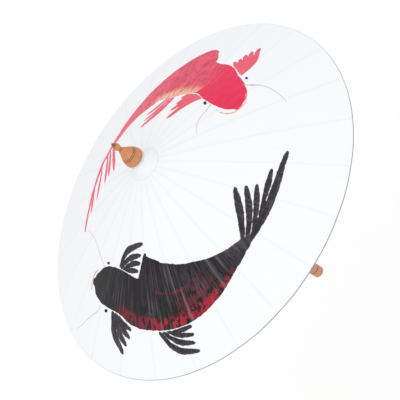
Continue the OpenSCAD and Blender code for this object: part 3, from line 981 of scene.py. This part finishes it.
def turned_piece(name, sections, lift, segments=112):
    """A piece turned about the shaft. sections are runs of (radius, height) in mm, each from the last one's end."""
    rows, last = [], []
    for section in sections:
        run, last = last + section, section[-1:]
        points = curve_through(run, 6) if len(run) > 2 else np.array(run, float)
        for r, z in points:
            if not rows or math.hypot(r - rows[-1][0], z - rows[-1][1]) > 0.02:
                rows.append((max(r, 0.0), z))
    mesh = bpy.data.meshes.new(name)
    shape = bmesh.new()
    rings = []
    for r, z in rows:
        height = (z + lift) * MM
        if r < 0.02:
            rings.append([shape.verts.new((0, 0, height))])
            continue
        angles = [2 * math.pi * k / segments for k in range(segments)]
        rings.append([shape.verts.new((r * MM * math.cos(a), r * MM * math.sin(a), height)) for a in angles])
    for low, high in zip(rings, rings[1:]):
        for k in range(segments):
            n = (k + 1) % segments
            corners = [low[k % len(low)], low[n % len(low)], high[n % len(high)], high[k % len(high)]]
            shape.faces.new(list(dict.fromkeys(corners)))
    bmesh.ops.recalc_face_normals(shape, faces=shape.faces)
    shape.to_mesh(mesh)
    shape.free()
    mesh.shade_smooth()
    mesh.set_sharp_from_angle(angle=math.radians(38))
    return link(bpy.data.objects.new(name, mesh))


def settle(piece, body, slot, *nodes):
    """Puts a piece on its body and hides the CAD nodes that it replaces. slot is not used."""
    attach(piece, body)
    if nodes:
        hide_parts(*nodes)


def thicken(piece, thickness):
    """Gives a sheet its thickness, inwards from its upper face."""
    solid = piece.modifiers.new("Thickness", "SOLIDIFY")
    solid.thickness = thickness
    solid.offset = -1
    return solid


def dress_node(node, material):
    """Gives a CAD node's object a material."""
    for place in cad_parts[node].material_slots:
        place.material = material


def put_attribute(mesh, name, kind, field, values):
    made = mesh.attributes.new(name, kind, "POINT")
    made.data.foreach_set(field, np.ascontiguousarray(values, np.float32).ravel())


# ---------------------------------------------------------------- operators


class UMBRELLA_OT_stage(bpy.types.Operator):
    """Adds the camera, the soft light and the pale floor"""

    bl_idname = "umbrella.stage"
    bl_label = "Stage"

    def execute(self, context):
        s = context.scene.umbrella_stage
        camera = link(bpy.data.objects.new("camera", bpy.data.cameras.new("camera")))
        camera.data.lens = s.lens
        camera.data.sensor_width = 36
        camera.data.clip_start, camera.data.clip_end = 0.05, 60
        back = Vector((0, -math.cos(s.elevation), math.sin(s.elevation)))
        side, upward = Vector((1, 0, 0)), Vector((0, math.sin(s.elevation), math.cos(s.elevation)))
        right = side * math.cos(s.roll) - upward * math.sin(s.roll)
        up = side * math.sin(s.roll) + upward * math.cos(s.roll)
        aim = Vector((s.aim_side, 0, s.aim_height))
        turn = Matrix((right, up, back)).transposed().to_4x4()
        camera.matrix_world = Matrix.Translation(aim + back * s.distance) @ turn
        context.scene.camera = camera

        world = bpy.data.worlds.new("soft_studio")
        world.use_nodes = True
        sky = world.node_tree.nodes["Background"]
        sky.inputs["Color"].default_value = (1, 1, 1, 1)
        sky.inputs["Strength"].default_value = s.sky
        context.scene.world = world
        lamp = link(bpy.data.objects.new("overhead", bpy.data.lights.new("overhead", "SUN")))
        lamp.data.energy = s.lamp
        lamp.data.angle = math.radians(50)
        lamp.rotation_euler = (math.radians(32), 0, math.radians(-12))

        floor = bpy.data.meshes.new("floor")
        reach = 30.0
        corners = [(-reach, -reach), (reach, -reach), (reach, reach), (-reach, reach)]
        floor.from_pydata([(x, y, s.floor_height) for x, y in corners], [], [(0, 1, 2, 3)])
        floor = link(bpy.data.objects.new("floor", floor))
        material, g, shader = new_material("floor")
        g.put(shader.inputs["Base Color"], (0.97, 0.97, 0.97))
        g.put(shader.inputs["Roughness"], 0.9)
        g.put(shader.inputs["Specular IOR Level"], 0.1)
        floor.data.materials.append(material)
        floor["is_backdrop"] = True
        context.scene.view_settings.view_transform = "Standard"
        return {"FINISHED"}


class UMBRELLA_OT_paper(bpy.types.Operator):
    """Makes the painted paper, a strip and two half gores on each rib"""

    bl_idname = "umbrella.paper"
    bl_label = "Painted Paper"

    def execute(self, context):
        s, p = context.scene.umbrella_paper, context.scene.umbrella_paint
        over = paper_material("painted_paper", s, p)
        under = paper_material("paper_underside", s, p, under=True)
        tree = once("Paper Panel", paper_panel_tree)
        fishes = [dark_koi(p), red_koi(p)]
        rim = RIM_R * MM - s.hem_radius
        radii = np.linspace(s.start_radius, rim, 200)
        heights = np.array([paper_z(r / MM) * MM for r in radii])
        slant = float(np.hypot(np.diff(radii), np.diff(heights)).sum())
        widths = np.maximum(radii * PITCH / 2 - s.strip_half, 0)
        area = float((0.5 * (widths[1:] + widths[:-1]) * np.hypot(np.diff(radii), np.diff(heights))).sum())
        flat = (float(widths[-1]), slant)
        chord = math.atan2(heights[0] - heights[-1], radii[-1] - radii[0])
        for i in range(RIBS):
            angle = PITCH * i
            made = {}
            for part, side, from_edge, to_middle, columns in (
                ("strip", 1.0, -1.0, 0.0, 4),
                ("gore_left", 1.0, 1.0, 1.0, s.columns),
                ("gore_right", -1.0, 1.0, 1.0, s.columns),
            ):
                shape = {
                    "Rib Angle": angle, "Side": side, "From Edge": from_edge, "To Middle": to_middle,
                    "Strip Half Width": s.strip_half, "Inner Radius": s.start_radius, "Rim Radius": rim,
                    "Flattening": s.flattening, "Hem Radius": s.hem_radius, "Rows": s.rows, "Columns": columns,
                    "Material": over,
                }
                piece = from_nodes(f"paper_{part}_{i + 1:02d}", tree, shape)
                mesh = piece.data
                mesh.materials.clear()
                mesh.materials.append(over)
                mesh.materials.append(under)
                co = np.empty(len(mesh.vertices) * 3, np.float32)
                mesh.vertices.foreach_get("co", co)
                co = co.reshape(-1, 3).astype(float) / MM
                colour, edges, brush, whisker = paint_points(fishes, co[:, 0], co[:, 1])
                put_attribute(mesh, "paint", "FLOAT_COLOR", "color", np.column_stack([colour, np.ones(len(co))]))
                vectors = {"edges": np.clip(edges, -FAR, FAR), "brush": brush, "whisker": whisker}
                for label, values in vectors.items():
                    put_attribute(mesh, label, "FLOAT_VECTOR", "vector", values)
                solid = thicken(piece, s.thickness)
                solid.material_offset = solid.material_offset_rim = 1
                made[part] = piece
            out = Vector((math.cos(angle), math.sin(angle), 0))
            around = Vector((-math.sin(angle), math.cos(angle), 0))
            raised = out * math.sin(chord) + Vector((0, 0, math.cos(chord)))
            foot = out * float(radii[0]) + Vector((0, 0, float(heights[0])))
            for part, sign in (("gore_left", 1), ("gore_right", -1)):
                piece = made[part]
                f"{rib_name(i)}_hinge"
                tuple(around * sign * math.cos(FOLD_LEAN) + raised * math.sin(FOLD_LEAN))
                tuple(foot + around * sign * s.strip_half)
                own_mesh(piece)
                rib_name(i)
                [made["strip"]] if sign > 0 else []
            for piece in made.values():
                settle(piece, rib_name(i), "paper", "canopy", "rim_cord")
        return {"FINISHED"}


class UMBRELLA_OT_cap(bpy.types.Operator):
    """Makes the gathered paper cap under the finial and the thread round its neck"""

    bl_idname = "umbrella.cap"
    bl_label = "Cap"

    def execute(self, context):
        s = context.scene.umbrella_paper
        material, g, shader = new_material("cap_paper")
        x, y, z = g.split(millimetres(g))
        around = g.math("ARCTAN2", y, x) * 26.0
        cap_crease_relief_and_shade = g.noise(g.join(around, z * 0.08), 0.6, 3.0)
        pulp = g.noise(millimetres(g), 0.8, 4.0, 0.65, 1.2)
        # Painted shade: the cap is a slightly darker copy of the paper and greys along its gathered creases; the
        # pulp gives it random tone
        tone = g.ramp(cap_crease_relief_and_shade, 0.45, 0.8) * 0.07 + pulp * 0.05
        g.put(shader.inputs["Base Color"], g.mix(tone, tuple(c * 0.97 for c in s.colour), (0.55, 0.57, 0.61)))
        g.put(shader.inputs["Roughness"], g.ramp(pulp, 0.2, 0.8, 0.45, 0.62))
        bump(g, shader, cap_crease_relief_and_shade + pulp * 0.4, 0.3, 0.0003)
        foot, neck = 37.5, 20.4
        cap = from_nodes(
            "paper_cap",
            once("Gathered Cap", cap_tree),
            {
                "Foot Radius": foot * MM, "Neck Radius": neck * MM, "Foot Height": (paper_z(foot) + 0.45) * MM,
                "Neck Height": (FINIAL_Z - 0.5) * MM, "Material": material,
            },
        )
        thicken(cap, 0.0006)
        slope_len = math.hypot(foot - neck, FINIAL_Z - 0.5 - paper_z(foot))
        slope_len * MM
        2 * math.pi * foot * MM
        math.pi * (foot + neck) * 0.93 * slope_len * MM * MM
        settle(cap, "stick", "paper", "apex_cap")
        thread = from_nodes(
            "cap_binding",
            once("Winding", winding_tree),
            {
                "Radius": (neck + 0.60) * MM, "Height": (FINIAL_Z - 5.0) * MM,
                "Thread Radius": 0.35 * MM, "Turns": 3.0,
                "Material": thread_material("binding_thread", (0.88, 0.88, 0.88), 60.0),
            },
        )
        settle(thread, "stick", "thread")
        return {"FINISHED"}


class UMBRELLA_OT_turned(bpy.types.Operator):
    """Makes the turned finial and handle, with their grooves and scorched rings"""

    bl_idname = "umbrella.turned"
    bl_label = "Finial and Handle"

    def execute(self, context):
        wood = context.scene.umbrella_wood
        top = FINIAL_Z
        finial = turned_piece(
            "finial_turned",
            [
                [(0, 0), (19.2, 0)],
                [(21.4, 0.9), (22.4, 3.2), (22.3, 7.0)],
                [(21.5, 11.0), (20.45, 14.6)],
                [(20.05, 15.0), (20.2, 15.4)],
                [(19.3, 17.4), (18.5, 19.2)],
                [(18.1, 19.6), (18.2, 20.0)],
                [(17.2, 22.0), (16.8, 22.7)],
                [(16.4, 23.0), (16.45, 23.4)],
                [(13.9, 28.3), (10.4, 35.0), (7.1, 41.0), (5.5, 44.2), (5.2, 46.5)],
                [(5.4, 48.4), (6.8, 50.6), (7.7, 53.6), (7.6, 56.8), (6.6, 60.2), (5.0, 63.0), (3.9, 64.6)],
                [(3.2, 66.2), (2.9, 68.0), (1.9, 69.4), (0, 69.9)],
            ],
            top,
        )
        finial.data.materials.append(
            turned_wood(
                "finial_wood", tuple(wood.finial), (0.36, 0.115, 0.04),
                rings=[
                    (top + 0.8, 1.8, 0.8), (top + 15.0, 0.35, 0.4), (top + 19.6, 0.75, 1.0), (top + 23.0, 0.6, 1.0),
                    (top + 46.0, 2.0, 0.45),
                ],
                tip=(top + 60.0, top + 66.0, 0.9), pores=0.6,
            )
        )
        settle(finial, "stick", "finial_wood", "finial")
        handle = turned_piece(
            "handle_turned",
            [
                [(0, 0), (8.8, 0)],
                [(11.6, 0.9), (13.2, 2.6), (13.9, 4.5)],
                [(13.2, 4.8), (13.2, 5.2), (14.0, 5.6)],
                [(14.0, 14.0), (14.0, 23.2)],
                [(13.2, 24.2), (13.2, 25.8), (14.0, 26.8)],
                [(14.0, 53.0), (14.0, 78.0)],
                [(12.9, 79.4), (12.9, 81.2), (13.7, 82.6)],
                [(14.0, 92.0), (13.6, 101.0), (12.4, 107.0), (10.4, 113.0), (9.5, 116.5)],
                [(10.5, 119.5), (11.0, 122.5), (10.6, 125.5), (9.0, 127.2)],
                [(8.4, 128.6), (8.2, 130.0)],
                [(6.55, 130.0)],
            ],
            0.0,
        )
        handle.data.materials.append(
            turned_wood(
                "handle_wood", tuple(wood.handle), (0.36, 0.15, 0.075),
                rings=[(0.6, 1.4, 0.55), (25.0, 1.2, 0.72), (40.0, 0.6, 0.35), (80.3, 1.3, 0.6), (127.3, 0.9, 0.5)],
                upright=42.0,
            )
        )
        settle(handle, "stick", "handle_wood", "handle")
        return {"FINISHED"}


class UMBRELLA_OT_bamboo(bpy.types.Operator):
    """Finishes the ribs, stretchers and catch as split bamboo"""

    bl_idname = "umbrella.bamboo"
    bl_label = "Ribs and Stretchers"

    def execute(self, context):
        wood = context.scene.umbrella_wood
        ribs = bamboo_material("rib_bamboo", wood, RIB_SLOPE)
        stretchers = bamboo_material("stretcher_bamboo", wood, STRETCHER_SLOPE)
        for i in range(RIBS):
            dress_node(rib_name(i), ribs)
            dress_node(stretcher_name(i), stretchers)
        catch = turned_wood("catch_bamboo", tuple(wood.bamboo), tuple(wood.bamboo_dark), upright=24.0, rough=0.4)
        dress_node("catch", catch)
        dress_node("catch_pin", catch)
        return {"FINISHED"}


class UMBRELLA_OT_stick(bpy.types.Operator):
    """Finishes the shaft, hub, runner and their binding threads"""

    bl_idname = "umbrella.stick"
    bl_label = "Shaft, Hub and Runner"

    def execute(self, context):
        wood = context.scene.umbrella_wood
        shaft = turned_wood("shaft_wood", tuple(wood.shaft), (0.34, 0.19, 0.075), upright=70.0, pores=0.5)
        dress_node("shaft", shaft)
        hub = turned_wood("hub_wood", tuple(wood.hub), (0.42, 0.26, 0.11), upright=22.0, rough=0.55)
        thread = thread_material("ring_thread", tuple(wood.thread), 70.0)
        for node, material in (
            ("top_hub", hub), ("runner", hub), ("hub_thread", thread), ("runner_thread", thread),
        ):
            dress_node(node, material)
        return {"FINISHED"}


class UMBRELLA_PT_panel(bpy.types.Panel):
    """Lists the umbrella's pieces and their settings"""

    bl_label = "Oil Paper Umbrella"
    bl_idname = "UMBRELLA_PT_panel"
    bl_space_type = "VIEW_3D"
    bl_region_type = "UI"
    bl_category = "Umbrella"

    def draw(self, context):
        for title, settings, operators in PANEL_ROWS:
            box = self.layout.box()
            box.label(text=title)
            group = getattr(context.scene, settings)
            for prop in group.bl_rna.properties:
                if prop.identifier not in ("rna_type", "name"):
                    box.prop(group, prop.identifier)
            for operator in operators:
                box.operator(operator)


PANEL_ROWS = (
    ("Stage", "umbrella_stage", ("umbrella.stage",)),
    ("Paper", "umbrella_paper", ("umbrella.paper", "umbrella.cap")),
    ("Painting", "umbrella_paint", ()),
    ("Wood", "umbrella_wood", ("umbrella.turned", "umbrella.bamboo", "umbrella.stick")),
)
SETTINGS = {
    "umbrella_stage": UmbrellaStageSettings,
    "umbrella_paper": UmbrellaPaperSettings,
    "umbrella_paint": UmbrellaPaintSettings,
    "umbrella_wood": UmbrellaWoodSettings,
}
CLASSES = (
    *SETTINGS.values(),
    UMBRELLA_OT_stage,
    UMBRELLA_OT_paper,
    UMBRELLA_OT_cap,
    UMBRELLA_OT_turned,
    UMBRELLA_OT_bamboo,
    UMBRELLA_OT_stick,
    UMBRELLA_PT_panel,
)


def register():
    for item in CLASSES:
        bpy.utils.register_class(item)
    for name, kind in SETTINGS.items():
        setattr(bpy.types.Scene, name, PointerProperty(type=kind))


def unregister():
    for name in SETTINGS:
        delattr(bpy.types.Scene, name)
    for item in reversed(CLASSES):
        bpy.utils.unregister_class(item)


def main():
    register()
    bpy.ops.umbrella.stage()
    bpy.ops.umbrella.paper()
    bpy.ops.umbrella.cap()
    bpy.ops.umbrella.turned()
    bpy.ops.umbrella.bamboo()
    bpy.ops.umbrella.stick()
    boxes = {"cad": CAD_BOX, "visual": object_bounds()}
    sizes = {name: [list(corner) for corner in box] for name, box in boxes.items()}


if __name__ == "__main__":
    main()
